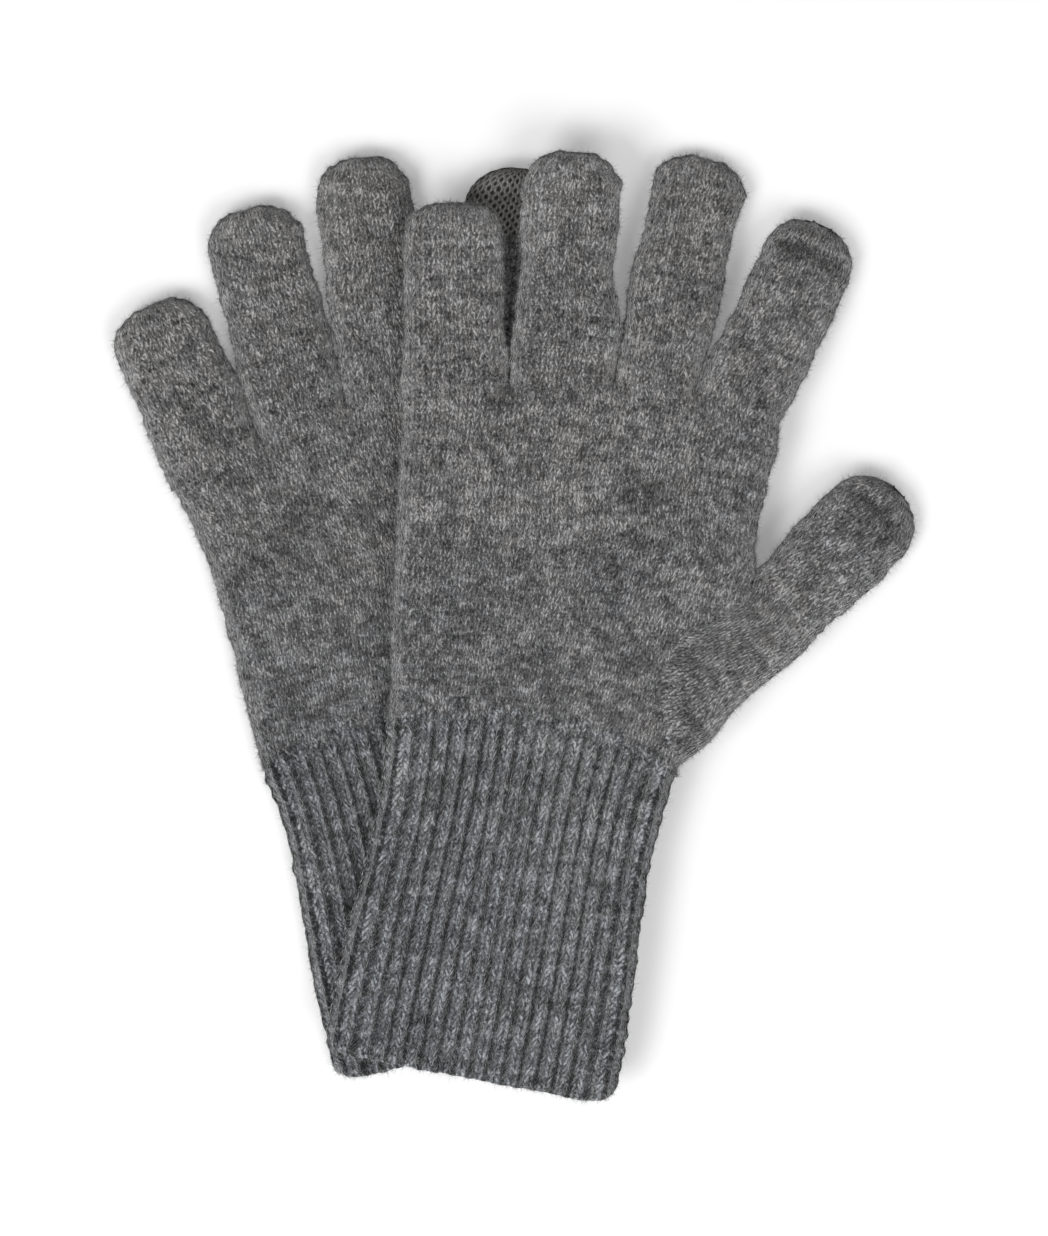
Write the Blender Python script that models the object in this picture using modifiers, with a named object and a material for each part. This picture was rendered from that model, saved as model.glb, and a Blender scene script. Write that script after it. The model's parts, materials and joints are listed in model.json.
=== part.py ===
"""A pair of knitted touchscreen gloves, one laid over the other.

The right-hand glove lies flat on the ground, palm up. The left-hand glove lies over it, back
up, and falls to the ground beyond it on its thumb side. Both are empty: each knitted section is
a flat pocket, two layers of fabric with air between them, open where it joins its neighbours.
+X is to the right, +Y runs from the hems to the fingertips, and +Z is up.
"""
from math import cos, hypot, pi, radians, sin

import bmesh
import bpy
from mathutils import Vector

MM = 0.001

# The knitted fabric, and an empty glove lying flat
WALL = 1.6 * MM
THICKNESS = 9.2 * MM
EDGE_ROUND = 3.5 * MM
SECTION_GAP = 0.3 * MM
CROTCH_GAP = 1.4 * MM

# The touch-knit ends, which reach further down the palm side of a digit than its back
TOUCH_ON_PALM = 18.5 * MM
TOUCH_ON_BACK = 3.0 * MM

# How the upper glove lies on the lower one
LAY_GAP = 0.5 * MM
GROUND_GAP = 0.3 * MM
DRAPE_MARGIN = 1.0 * MM
UPPER_WRIST = (35.1 * MM, -5.7 * MM)
LOWER_TURN = 18.0

# How many straight pieces make each round stretch
TIP_STEPS = 12
SIDE_STEPS = 4
FULL_WIDTH_AT = 22.0 * MM
CUTTER_MARGIN = 8.0 * MM


def digit(name, base, width, length, splay, step=0.0, touch=False, droops=False):
    """One digit: its sizes in mm, its angle to the hand, and its step up from its neighbour."""
    return {
        "name": name,
        "base": base * MM,
        "width": width * MM,
        "length": length * MM,
        "splay": splay,
        "step": step * MM,
        "touch": touch,
        "droops": droops,
    }


# Each glove's places are measured from the middle of its wrist line, across and up the hand
LEFT = {
    "name": "left",
    "palm_up": False,
    "cuff_length": 88.5 * MM,
    "hem_width": 74.5 * MM,
    "wrist_width": 75.5 * MM,
    "cuff_lean": 10.8,
    "wrist_tilt": -12.0,
    "first_knuckle": (-33.3 * MM, 89.7 * MM),
    "outer_waist": (-36.0 * MM, 46.0 * MM),
    "thumb_crotch": (56.4 * MM, 43.4 * MM),
    "web_waist": (58.0 * MM, 60.0 * MM),
    "gusset_waist": (51.5 * MM, 9.0 * MM),
    "thumb": digit("thumb", 25.6, 25.8, 41.6, 45.4, touch=True),
    "fingers": [
        digit("little", 26.4, 26.4, 48.0, -0.6),
        digit("ring", 24.6, 25.6, 59.9, 3.7, step=1.9),
        digit("middle", 22.0, 24.4, 59.7, 13.3, step=4.0, droops=True),
        digit("index", 23.8, 24.6, 51.8, 24.0, step=0.8, touch=True, droops=True),
    ],
}

RIGHT = {
    "name": "right",
    "palm_up": True,
    "cuff_length": 88.0 * MM,
    "hem_width": 74.5 * MM,
    "wrist_width": 74.5 * MM,
    "cuff_lean": 4.2,
    "wrist_tilt": 1.0,
    "first_knuckle": (-37.3 * MM, 76.1 * MM),
    "outer_waist": (-36.8 * MM, 38.0 * MM),
    "thumb_crotch": (52.0 * MM, 36.0 * MM),
    "web_waist": (50.0 * MM, 54.0 * MM),
    "gusset_waist": (52.0 * MM, 7.0 * MM),
    "thumb": digit("thumb", 25.6, 25.8, 38.5, 35.0, touch=True),
    "fingers": [
        digit("little", 24.8, 26.0, 43.2, -6.5),
        digit("ring", 22.6, 25.4, 58.0, 4.0, step=0.6),
        digit("middle", 22.0, 24.6, 61.0, 11.0, step=4.6),
        digit("index", 23.5, 24.0, 56.0, 24.0, step=2.4, touch=True),
    ],
}

PLAIN_KNIT = ("plain_knit", (0.123, 0.125, 0.130, 1.0), 0.95)
RIB_KNIT = ("rib_knit", (0.108, 0.112, 0.119, 1.0), 0.95)
TOUCH_KNIT = ("touch_knit", (0.121, 0.117, 0.111, 1.0), 0.85)


def make_material(name, colour, roughness):
    """A non-metallic yarn colour."""
    material = bpy.data.materials.new(name)
    material.use_nodes = True
    shader = material.node_tree.nodes["Principled BSDF"]
    shader.inputs["Base Color"].default_value = colour
    shader.inputs["Roughness"].default_value = roughness
    shader.inputs["Metallic"].default_value = 0.0
    return material


def across(angle):
    """The direction to the right of something that points up the hand and leans by angle."""
    return Vector((cos(radians(angle)), -sin(radians(angle))))


def along(angle):
    """The direction up the hand that leans to the right by angle."""
    return Vector((sin(radians(angle)), cos(radians(angle))))


def bend(start, control, end):
    """The points of a shallow curve, without its two ends."""
    points = []
    for i in range(1, SIDE_STEPS):
        t = i / SIDE_STEPS
        points.append(start * (1 - t) ** 2 + control * 2 * t * (1 - t) + end * t**2)
    return points


def set_digit_places(glove):
    """Lays the fingers side by side from the first knuckle, and the thumb at its crotch."""
    start = Vector(glove["first_knuckle"])
    for finger in glove["fingers"]:
        start = start + Vector((0, finger["step"]))
        finger["start"] = start
        finger["end"] = start + across(finger["splay"]) * finger["base"]
        start = finger["end"] + Vector((CROTCH_GAP, 0))
    thumb = glove["thumb"]
    thumb["start"] = Vector(glove["thumb_crotch"])
    thumb["end"] = thumb["start"] + across(thumb["splay"]) * thumb["base"]
    for part in glove["fingers"] + [thumb]:
        part["middle"] = (part["start"] + part["end"]) / 2


def wrist_ends(glove):
    """The two ends of the line where the cuff meets the hand."""
    half = across(-glove["wrist_tilt"]) * glove["wrist_width"] / 2
    return -half, half


def rightmost(glove, turn):
    """How far the glove's thumb reaches to the right of its wrist, once it is turned."""
    thumb = glove["thumb"]
    round_centre = thumb["middle"] + along(thumb["splay"]) * (thumb["length"] - thumb["width"] / 2)
    angle = radians(turn)
    return round_centre.x * cos(angle) - round_centre.y * sin(angle) + thumb["width"] / 2


def set_drape(upper, lower):
    """Where the upper glove starts to fall, how steeply, and how each of its digits lies."""
    over = THICKNESS + LAY_GAP
    fall_start = max(
        rightmost(lower, LOWER_TURN) - UPPER_WRIST[0] + DRAPE_MARGIN,
        upper["fingers"][-1]["start"].x - CROTCH_GAP / 2,
    )
    steepness = (over - GROUND_GAP) / (rightmost(upper, 0.0) - fall_start)
    upper["height"], upper["fall_start"], upper["steepness"] = over, fall_start, steepness
    lower["height"], lower["fall_start"], lower["steepness"] = 0.0, 1.0, 0.0
    for glove in (upper, lower):
        for part in glove["fingers"] + [glove["thumb"]]:
            tilt = glove["steepness"] if part["middle"].x > glove["fall_start"] else 0.0
            part["drop"] = fall(glove, part["middle"].x)
            part["slope_across"] = -tilt * cos(radians(part["splay"]))
            part["slope_along"] = -tilt * sin(radians(part["splay"]))
            if part["droops"]:
                low_edge = part["slope_across"] * part["width"] / 2
                room = glove["height"] - part["drop"] + low_edge - GROUND_GAP
                part["slope_along"] = -room / part["length"]


def fall(glove, x):
    """How far below the rest of its glove the fabric lies at x."""
    return glove["steepness"] * max(0.0, x - glove["fall_start"])


def flat_pocket(outline, openings):
    """Two flat layers of fabric joined along the outline, but not along its opening edges."""
    mesh = bmesh.new()
    corners = [mesh.verts.new((point.x, point.y, 0.0)) for point in outline]
    layer = mesh.faces.new(corners)
    raised = bmesh.ops.extrude_face_region(mesh, geom=[layer], use_keep_orig=True)
    top = [item for item in raised["geom"] if isinstance(item, bmesh.types.BMVert)]
    bmesh.ops.translate(mesh, verts=top, vec=(0, 0, THICKNESS))
    mesh.verts.ensure_lookup_table()
    opened = []
    for i in openings:
        edge = mesh.edges.get((corners[i], corners[(i + 1) % len(corners)]))
        opened += [face for face in edge.link_faces if abs(face.normal.z) < 0.5]
    bmesh.ops.delete(mesh, geom=opened, context="FACES_ONLY")
    bmesh.ops.recalc_face_normals(mesh, faces=mesh.faces)
    return mesh


def finish_piece(name, mesh, material, parent, location, lean):
    """Rounds the pocket's edges, gives the fabric its thickness, and puts the piece in place."""
    data = bpy.data.meshes.new(name)
    bmesh.ops.recalc_face_normals(mesh, faces=mesh.faces)
    mesh.to_mesh(data)
    mesh.free()
    piece = bpy.data.objects.new(name, data)
    data.materials.append(material)
    bpy.data.collections["touchscreen_gloves"].objects.link(piece)
    edges = piece.modifiers.new("rounded_edge", "BEVEL")
    edges.width = EDGE_ROUND
    edges.segments = 3
    edges.limit_method = "ANGLE"
    edges.angle_limit = radians(60)
    edges.use_clamp_overlap = False
    fabric = piece.modifiers.new("fabric", "SOLIDIFY")
    fabric.thickness = WALL
    fabric.offset = -1.0
    fabric.use_even_offset = True
    piece.parent = parent
    piece.location = location
    piece.rotation_euler.z = -radians(lean)
    return piece


def digit_outline(part):
    """A digit seen flat, from its open foot: it widens to its full width and has a round end."""
    foot, half, length = part["base"] / 2, part["width"] / 2, part["length"]
    side = []
    for i in range(SIDE_STEPS + 1):
        t = i / SIDE_STEPS
        widened = foot + (half - foot) * (3 - 2 * t) * t * t
        side.append(Vector((widened, SECTION_GAP + (FULL_WIDTH_AT - SECTION_GAP) * t)))
    if length - half < FULL_WIDTH_AT + SECTION_GAP:
        side = [Vector((foot, SECTION_GAP))]
    end = []
    for i in range(TIP_STEPS + 1):
        angle = pi * i / TIP_STEPS
        end.append(Vector((half * cos(angle), length - half + half * sin(angle))))
    mirrored = [Vector((-point.x, point.y)) for point in reversed(side)]
    return side + end + mirrored


def lay_digit(mesh, part):
    """Leans the digit's flat layers the way it lies, and moves its top to its folding line."""
    for vertex in mesh.verts:
        x, y, z = vertex.co
        vertex.co.z = z + part["slope_across"] * x + part["slope_along"] * y - part["fold_height"]


def add_touch_cutter(glove, part, name, keeps_end, root, location):
    """A block that takes the digit's touch-knit end away, or everything else."""
    on_top = TOUCH_ON_PALM if glove["palm_up"] else TOUCH_ON_BACK
    below = TOUCH_ON_BACK if glove["palm_up"] else TOUCH_ON_PALM
    slant = (below - on_top) / THICKNESS
    half_gap = SECTION_GAP / 2 * hypot(1, slant)
    split = part["length"] - below + (half_gap if keeps_end else -half_gap)
    reach = CUTTER_MARGIN * (1 + abs(slant))
    plain_side = -reach if keeps_end else part["length"] + reach
    block = bmesh.new()
    bmesh.ops.create_cube(block, size=1.0)
    for vertex in block.verts:
        vertex.co.x *= part["width"] + 2 * CUTTER_MARGIN
        vertex.co.z = (vertex.co.z + 0.5) * (THICKNESS + 2 * CUTTER_MARGIN) - CUTTER_MARGIN
        on_split = (vertex.co.y > 0) == keeps_end
        vertex.co.y = split + slant * vertex.co.z if on_split else plain_side
    lay_digit(block, part)
    data = bpy.data.meshes.new(f"{name}_cutter")
    block.to_mesh(data)
    block.free()
    cutter = bpy.data.objects.new(f"{name}_cutter", data)
    bpy.data.collections["cutters"].objects.link(cutter)
    cutter.parent = root
    cutter.location = location
    cutter.rotation_euler.z = -radians(part["splay"])
    cutter.hide_render = True
    cutter.display_type = "WIRE"
    return cutter


def make_digit(glove, part, materials, root):
    """The digit's knitted tube and, on a thumb or an index finger, its touch-knit end."""
    name = f"{glove['name']}_{part['name']}"
    outline = digit_outline(part)
    location = (
        part["middle"].x,
        part["middle"].y,
        part["fold_height"] - part["drop"],
    )
    pieces = [(name, PLAIN_KNIT[0], False)]
    if part["touch"]:
        pieces.append((f"{name}_touch_tip", TOUCH_KNIT[0], True))
    for piece_name, slot, is_end in pieces:
        mesh = flat_pocket(outline, [len(outline) - 1])
        lay_digit(mesh, part)
        piece = finish_piece(piece_name, mesh, materials[slot], root, location, part["splay"])
        if part["touch"]:
            cut = piece.modifiers.new("touch_split", "BOOLEAN")
            cut.operation = "DIFFERENCE"
            cut.object = add_touch_cutter(glove, part, piece_name, is_end, root, location)


def hand_outline(glove):
    """The hand seen flat, anticlockwise from the thumb's end of the wrist, and its openings."""
    low_left, low_right = wrist_ends(glove)
    thumb, fingers = glove["thumb"], glove["fingers"]
    square_to_foot = thumb["end"] - along(thumb["splay"]) * 2 * WALL
    points = [low_right] + bend(low_right, Vector(glove["gusset_waist"]), square_to_foot)
    points += [square_to_foot, thumb["end"]]
    openings = [len(points) - 1]
    points.append(thumb["start"])
    knuckle = fingers[-1]["end"]
    points += bend(thumb["start"], Vector(glove["web_waist"]), knuckle)
    first_open = len(points)
    for finger in reversed(fingers):
        reach = across(finger["splay"]) * CROTCH_GAP / 2
        past_end = finger["end"] + (reach if finger is not fingers[-1] else reach * 0)
        past_start = finger["start"] - (reach if finger is not fingers[0] else reach * 0)
        points += [past_end, past_start]
    openings += range(first_open, len(points) - 1)
    points += bend(fingers[0]["start"], Vector(glove["outer_waist"]), low_left)
    points.append(low_left)
    openings.append(len(points) - 1)
    return points, openings


def make_hand(glove, materials, root):
    """The palm and back, from the wrist to the feet of the digits."""
    points, openings = hand_outline(glove)
    mesh = flat_pocket(points, openings)
    bmesh.ops.bisect_plane(
        mesh,
        geom=list(mesh.verts) + list(mesh.edges) + list(mesh.faces),
        dist=0.0000001,
        plane_co=(glove["fall_start"], 0, 0),
        plane_no=(1, 0, 0),
    )
    for vertex in mesh.verts:
        vertex.co.z -= fall(glove, vertex.co.x)
    finish_piece(f"{glove['name']}_hand", mesh, materials[PLAIN_KNIT[0]], root, (0, 0, 0), 0.0)


def make_cuff(glove, materials, root):
    """The long rib-knit cuff, from the wrist line down to its open hem."""
    lean = glove["cuff_lean"]
    low_left, low_right = wrist_ends(glove)
    seam = along(-glove["wrist_tilt"]) * SECTION_GAP
    hem = -along(lean) * glove["cuff_length"]
    half_hem = across(lean) * glove["hem_width"] / 2
    outline = [low_right - seam, low_left - seam, hem - half_hem, hem + half_hem]
    turned = []
    for point in outline:
        x, y = point.dot(across(lean)), point.dot(along(lean))
        turned.append(Vector((x, y)))
    mesh = flat_pocket(turned, [0, 2])
    height = glove["fold_height"]
    for vertex in mesh.verts:
        vertex.co.z -= height
    finish_piece(
        f"{glove['name']}_cuff", mesh, materials[RIB_KNIT[0]], root, (0, 0, height), lean
    )


def set_fold_heights(glove, folds_down):
    """A digit or cuff that folds up turns on its top face, one that folds down on its lower."""
    for part in glove["fingers"] + [glove["thumb"]]:
        part["fold_height"] = 0.0 if part["name"] in folds_down else THICKNESS
    glove["fold_height"] = 0.0 if "cuff" in folds_down else THICKNESS


def make_glove(glove, materials, wrist, turn):
    """One glove, on an empty at the middle of its wrist line."""
    root = bpy.data.objects.new(f"{glove['name']}_glove", None)
    bpy.data.collections["touchscreen_gloves"].objects.link(root)
    root.location = (wrist[0], wrist[1], glove["height"])
    root.rotation_euler.z = radians(turn)
    make_cuff(glove, materials, root)
    make_hand(glove, materials, root)
    for part in glove["fingers"] + [glove["thumb"]]:
        make_digit(glove, part, materials, root)
    return root


def centre_on_origin(roots):
    """Moves both gloves so that the middle of the pair is over the origin."""
    bpy.context.view_layer.update()
    depsgraph = bpy.context.evaluated_depsgraph_get()
    corners = []
    for piece in bpy.data.collections["touchscreen_gloves"].objects:
        if piece.type == "MESH":
            placed = piece.evaluated_get(depsgraph)
            corners += [placed.matrix_world @ vertex.co for vertex in placed.data.vertices]
    for i in (0, 1):
        middle = (min(c[i] for c in corners) + max(c[i] for c in corners)) / 2
        for root in roots:
            root.location[i] -= middle


def main():
    for item in list(bpy.data.objects):
        bpy.data.objects.remove(item, do_unlink=True)
    gloves = bpy.data.collections.new("touchscreen_gloves")
    bpy.context.scene.collection.children.link(gloves)
    cutters = bpy.data.collections.new("cutters")
    bpy.context.scene.collection.children.link(cutters)
    materials = {spec[0]: make_material(*spec) for spec in (PLAIN_KNIT, RIB_KNIT, TOUCH_KNIT)}
    set_digit_places(LEFT)
    set_digit_places(RIGHT)
    set_drape(LEFT, RIGHT)
    set_fold_heights(LEFT, [])
    set_fold_heights(RIGHT, ["cuff", "thumb", "index", "middle"])
    lower = make_glove(RIGHT, materials, (0, 0), LOWER_TURN)
    upper = make_glove(LEFT, materials, UPPER_WRIST, 0.0)
    centre_on_origin([lower, upper])


main()
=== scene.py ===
# %% [markdown]
# # A pair of knitted touchscreen gloves
# Two empty gloves lie one over the other. Each is a set of flat knitted tubes: a long ribbed
# cuff, a plain-knit hand with a thumb gusset, and five digits, of which the thumb and the index
# finger end in a smoother conductive yarn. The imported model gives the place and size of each
# tube. This script knits them: every tube is a grid with one cell group for each stitch, so that
# the stitches are real relief, and a coat of loose fibres grows on the brushed parts.

# %% Load the frame
import json
import math

import bmesh
import bpy
import numpy as np
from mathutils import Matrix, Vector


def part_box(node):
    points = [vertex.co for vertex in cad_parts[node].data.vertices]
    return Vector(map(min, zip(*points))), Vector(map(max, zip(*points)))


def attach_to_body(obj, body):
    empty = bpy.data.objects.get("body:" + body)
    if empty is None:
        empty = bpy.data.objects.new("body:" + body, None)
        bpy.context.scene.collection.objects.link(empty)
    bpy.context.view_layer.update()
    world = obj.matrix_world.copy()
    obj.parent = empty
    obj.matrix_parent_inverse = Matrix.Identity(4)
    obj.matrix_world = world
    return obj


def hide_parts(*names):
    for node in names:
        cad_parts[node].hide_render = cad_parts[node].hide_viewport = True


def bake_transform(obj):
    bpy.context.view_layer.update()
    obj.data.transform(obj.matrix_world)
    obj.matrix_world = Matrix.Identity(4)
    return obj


MM = 0.001
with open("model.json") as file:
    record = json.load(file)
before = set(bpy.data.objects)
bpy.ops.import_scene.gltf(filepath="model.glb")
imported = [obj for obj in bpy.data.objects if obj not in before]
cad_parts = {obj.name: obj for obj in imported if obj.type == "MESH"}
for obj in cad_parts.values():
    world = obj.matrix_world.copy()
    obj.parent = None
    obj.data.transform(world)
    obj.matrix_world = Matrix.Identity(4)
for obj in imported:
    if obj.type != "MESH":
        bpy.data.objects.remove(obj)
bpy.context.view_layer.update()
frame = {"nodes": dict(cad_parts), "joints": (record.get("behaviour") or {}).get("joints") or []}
joints = {joint["name"]: joint for joint in frame["joints"]}

# %% [markdown]
# ## Camera, floor and light
# The gloves are seen from straight above. A long lens a good way up keeps the view nearly
# parallel, so the fingers don't lean outwards. The floor is white and so is the sky, which gives
# soft contact shadows all round. Two wide lamps, one past the thumb's side and one past the other
# side, both nearer to the cuffs, draw a soft shadow beside the cuffs and around the fingertips.

# %% Camera
VIEW_HEIGHT = 321.4 * MM
VIEW_MIDDLE = (2.5 * MM, 2.3 * MM)
CAMERA_UP = 1.8
SENSOR = 36.0

camera_data = bpy.data.cameras.new("camera")
camera_data.sensor_width = SENSOR
camera_data.lens = SENSOR * CAMERA_UP / VIEW_HEIGHT
camera_data.clip_end = 20.0
camera = bpy.data.objects.new("camera", camera_data)
camera.location = (VIEW_MIDDLE[0], VIEW_MIDDLE[1], CAMERA_UP)
bpy.context.scene.collection.objects.link(camera)
bpy.context.scene.camera = camera
bpy.context.scene.view_settings.view_transform = "Standard"
print("lens:", round(camera_data.lens, 1), "mm")

# %% Floor and light
FLOOR_SIZE = 6.0
FLOOR_DROP = 0.3 * MM
SKY_STRENGTH = 0.50
LAMPS = {"right_softbox": (-60.0, 27.5), "left_softbox": (222.0, 48.0)}
LAMP_RISE = math.radians(52)
LAMP_AWAY = 2.4
LAMP_SIZE = 1.1

floor_mesh = bmesh.new()
bmesh.ops.create_grid(floor_mesh, x_segments=1, y_segments=1, size=FLOOR_SIZE / 2)
floor_data = bpy.data.meshes.new("floor")
floor_mesh.to_mesh(floor_data)
floor_mesh.free()
floor = bpy.data.objects.new("floor", floor_data)
floor.location.z = -FLOOR_DROP
bpy.context.scene.collection.objects.link(floor)

world = bpy.data.worlds.new("studio")
world.use_nodes = True
world.node_tree.nodes["Background"].inputs["Color"].default_value = (1.0, 1.0, 1.0, 1.0)
world.node_tree.nodes["Background"].inputs["Strength"].default_value = SKY_STRENGTH
bpy.context.scene.world = world

for name, (bearing, power) in LAMPS.items():
    lamp_data = bpy.data.lights.new(name, "AREA")
    lamp_data.shape = "SQUARE"
    lamp_data.size = LAMP_SIZE
    lamp_data.energy = power
    lamp = bpy.data.objects.new(name, lamp_data)
    turn = math.radians(bearing)
    level = LAMP_AWAY * math.cos(LAMP_RISE)
    lamp.location = (level * math.cos(turn), level * math.sin(turn), LAMP_AWAY * math.sin(LAMP_RISE))
    lamp.rotation_euler = (0.0, math.pi / 2 - LAMP_RISE, turn)
    bpy.context.scene.collection.objects.link(lamp)

# %% [markdown]
# ## Yarn materials
# A material is a page of arithmetic on the piece's own stitch map, where one unit across is one
# column of stitches and one unit up is one row. Written as node links, that is hard to read, so
# one small class wraps a socket and lets the maths be typed as an ordinary expression.


# %% A socket that can be added and multiplied
class Wire:
    """A node's output that takes part in Python expressions."""

    def __init__(self, tree, socket):
        self.tree = tree
        self.socket = socket

    def node(self, kind, settings, values, output=0):
        """Adds a node of this kind, sets it up, fills its sockets and returns one output."""
        made = self.tree.nodes.new(kind)
        for name, value in settings.items():
            setattr(made, name, value)
        for key, value in values.items():
            if isinstance(value, Wire):
                self.tree.links.new(value.socket, made.inputs[key])
            else:
                made.inputs[key].default_value = value
        return Wire(self.tree, made.outputs[output])

    def math(self, operation, *others):
        values = dict(enumerate((self,) + others))
        return self.node("ShaderNodeMath", {"operation": operation}, values)

    def __add__(self, other):
        return self.math("ADD", other)

    def __sub__(self, other):
        return self.math("SUBTRACT", other)

    def __rsub__(self, other):
        return self.node("ShaderNodeMath", {"operation": "SUBTRACT"}, {0: other, 1: self})

    def __mul__(self, other):
        return self.math("MULTIPLY", other)

    def __pow__(self, other):
        return self.math("POWER", other)

    __radd__ = __add__
    __rmul__ = __mul__


# %% Noise and stitch patterns
def start_material(name):
    """An empty material, its shader node, and its stitch map and place as wires."""
    material = bpy.data.materials.new(name)
    material.use_nodes = True
    tree = material.node_tree
    shader = tree.nodes["Principled BSDF"]
    place = tree.nodes.new("ShaderNodeTexCoord")
    chart = tree.nodes.new("ShaderNodeUVMap")
    chart.uv_map = "Stitches"
    return material, shader, Wire(tree, chart.outputs["UV"]), Wire(tree, place.outputs["Object"])


def noise(place, scale, detail=2.0, stretch=(1.0, 1.0, 1.0)):
    """Soft noise from 0 to 1 whose lumps are about 1 / scale across."""
    scaled = place.node("ShaderNodeVectorMath", {"operation": "MULTIPLY"}, {0: place, 1: stretch})
    values = {"Vector": scaled, "Scale": scale, "Detail": detail, "Roughness": 0.6}
    return place.node("ShaderNodeTexNoise", {"noise_dimensions": "3D"}, values)


def speck(across, up):
    """A different shade from 0 to 1 for each half stitch."""
    corner = {0: across.math("FLOOR"), 1: up.math("FLOOR"), 2: 0.0}
    cell = across.node("ShaderNodeCombineXYZ", {}, corner)
    return cell.node("ShaderNodeTexWhiteNoise", {"noise_dimensions": "2D"}, {"Vector": cell})


def tone_to_colour(tone, stops):
    """The yarn's colour for a tone from 0, dark, to 1, light."""
    wire = tone.node("ShaderNodeValToRGB", {}, {"Fac": tone})
    ramp = wire.socket.node.color_ramp
    while len(ramp.elements) < len(stops):
        ramp.elements.new(0.5)
    for element, (position, colour) in zip(ramp.elements, stops):
        element.position = position
        element.color = (*colour, 1.0)
    return wire


def tinted(colour, share, cool, warm):
    """The colour, leaning from a cool to a warm tint as the share goes from 0 to 1."""
    tints = {0: share, 6: (*cool, 1.0), 7: (*warm, 1.0)}
    tint = share.node("ShaderNodeMix", {"data_type": "RGBA"}, tints, 2)
    return colour.node("ShaderNodeVectorMath", {"operation": "MULTIPLY"}, {0: colour, 1: tint})


def finish_material(shader, colour, height, depth, roughness, sheen):
    """Feeds the colour and the fine relief to the shader and sets its constant values."""
    tree = colour.tree
    tree.links.new(colour.socket, shader.inputs["Base Color"])
    bump = colour.node("ShaderNodeBump", {}, {"Height": height, "Distance": depth})
    tree.links.new(bump.socket, shader.inputs["Normal"])
    shader.inputs["Roughness"].default_value = roughness
    shader.inputs["Sheen Weight"].default_value = sheen
    shader.inputs["Sheen Roughness"].default_value = 0.35
    shader.inputs["Specular IOR Level"].default_value = 0.15


TONES = [(0.0, 0.012), (0.25, 0.044), (0.5, 0.097), (0.75, 0.182), (1.0, 0.330)]
TOUCH_TONES = [(0.0, 0.016), (0.4, 0.075), (0.7, 0.150), (1.0, 0.230)]


def shades(tones, tint=(1.0, 1.0, 1.0)):
    """Colours for a run of tones, all a little warm or cool."""
    return [(place, tuple(tone * part for part in tint)) for place, tone in tones]


COOL = (0.965, 0.988, 1.030)
WARM = (1.030, 0.998, 0.980)
RIB_COOL = (0.930, 0.985, 1.060)
RIB_WARM = (0.995, 1.000, 0.995)
TOUCH_TINT = (1.03, 1.0, 0.955)
LEG_RISE = 1.3


def leg_pattern(across, up):
    """Where a point lies in its stitch: how far across its leg and along it, and a leg's shade."""
    in_column = across.math("FRACT")
    from_middle = (in_column - 0.5).math("ABSOLUTE") * 2.0
    phase = up - (1.0 - from_middle) * LEG_RISE
    along = phase.math("FRACT")
    shade = speck(across * 2.0, phase)
    in_leg = {0: phase * 2.6, 1: from_middle * 0.7, 2: shade * 40.0}
    strand = noise(shade.node("ShaderNodeCombineXYZ", {}, in_leg), 1.0, 1.0)
    return from_middle, along, shade, strand


def hump(value):
    """1 in the middle of a run from 0 to 1, and 0 at both ends."""
    return value * (1.0 - value) * 4.0


# %% [markdown]
# ## Plain knit, rib and touch knit
# On plain knit each stitch shows as two slanted legs that meet at the top; their middles are
# painted lighter and the gaps between them darker, as painted light and shade. The yarn is a blend
# of light and dark fibres, so neighbouring legs differ in shade, wider clouds drift over the
# fabric, and brushing has blurred the gaps. The rib has the same yarn in narrow raised columns,
# with painted shade in the furrows between them. The touch knit isn't brushed: its gaps stay open
# and are painted dark as shade, and its shade is even.


# %% Plain and rib yarn
# Painted shade: how much darker the yarn is painted in the dent behind a touch end.
DENT_SHADE_TONE = 0.42
# Painted shade: how much darker the rib's furrows are painted than its ridges.
FURROW_SHADE_TONE = 0.48
# Painted light: the yarn is painted lighter towards the fingers and the right, and darker towards the
# cuffs.
PAINTED_LIGHT_FALLOFF = (0.36, 0.35, 0.0)
HUE_DRIFT = (0.0, 3.4, 0.0)


def clamped(wire):
    """The value, kept between 0 and 1."""
    return wire.math("MAXIMUM", 0.0).math("MINIMUM", 1.0)


def along(place, direction):
    """How far a place lies along a direction, times the direction's length."""
    return place.node("ShaderNodeVectorMath", {"operation": "DOT_PRODUCT"}, {0: place, 1: direction}, 1)


def smooth_step(wire, low, high):
    """1 below the low value, 0 above the high one, and a soft step between them."""
    values = {"Value": wire, "From Min": low, "From Max": high, "To Min": 1.0, "To Max": 0.0}
    return wire.node("ShaderNodeMapRange", {"interpolation_type": "SMOOTHSTEP"}, values)


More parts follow.
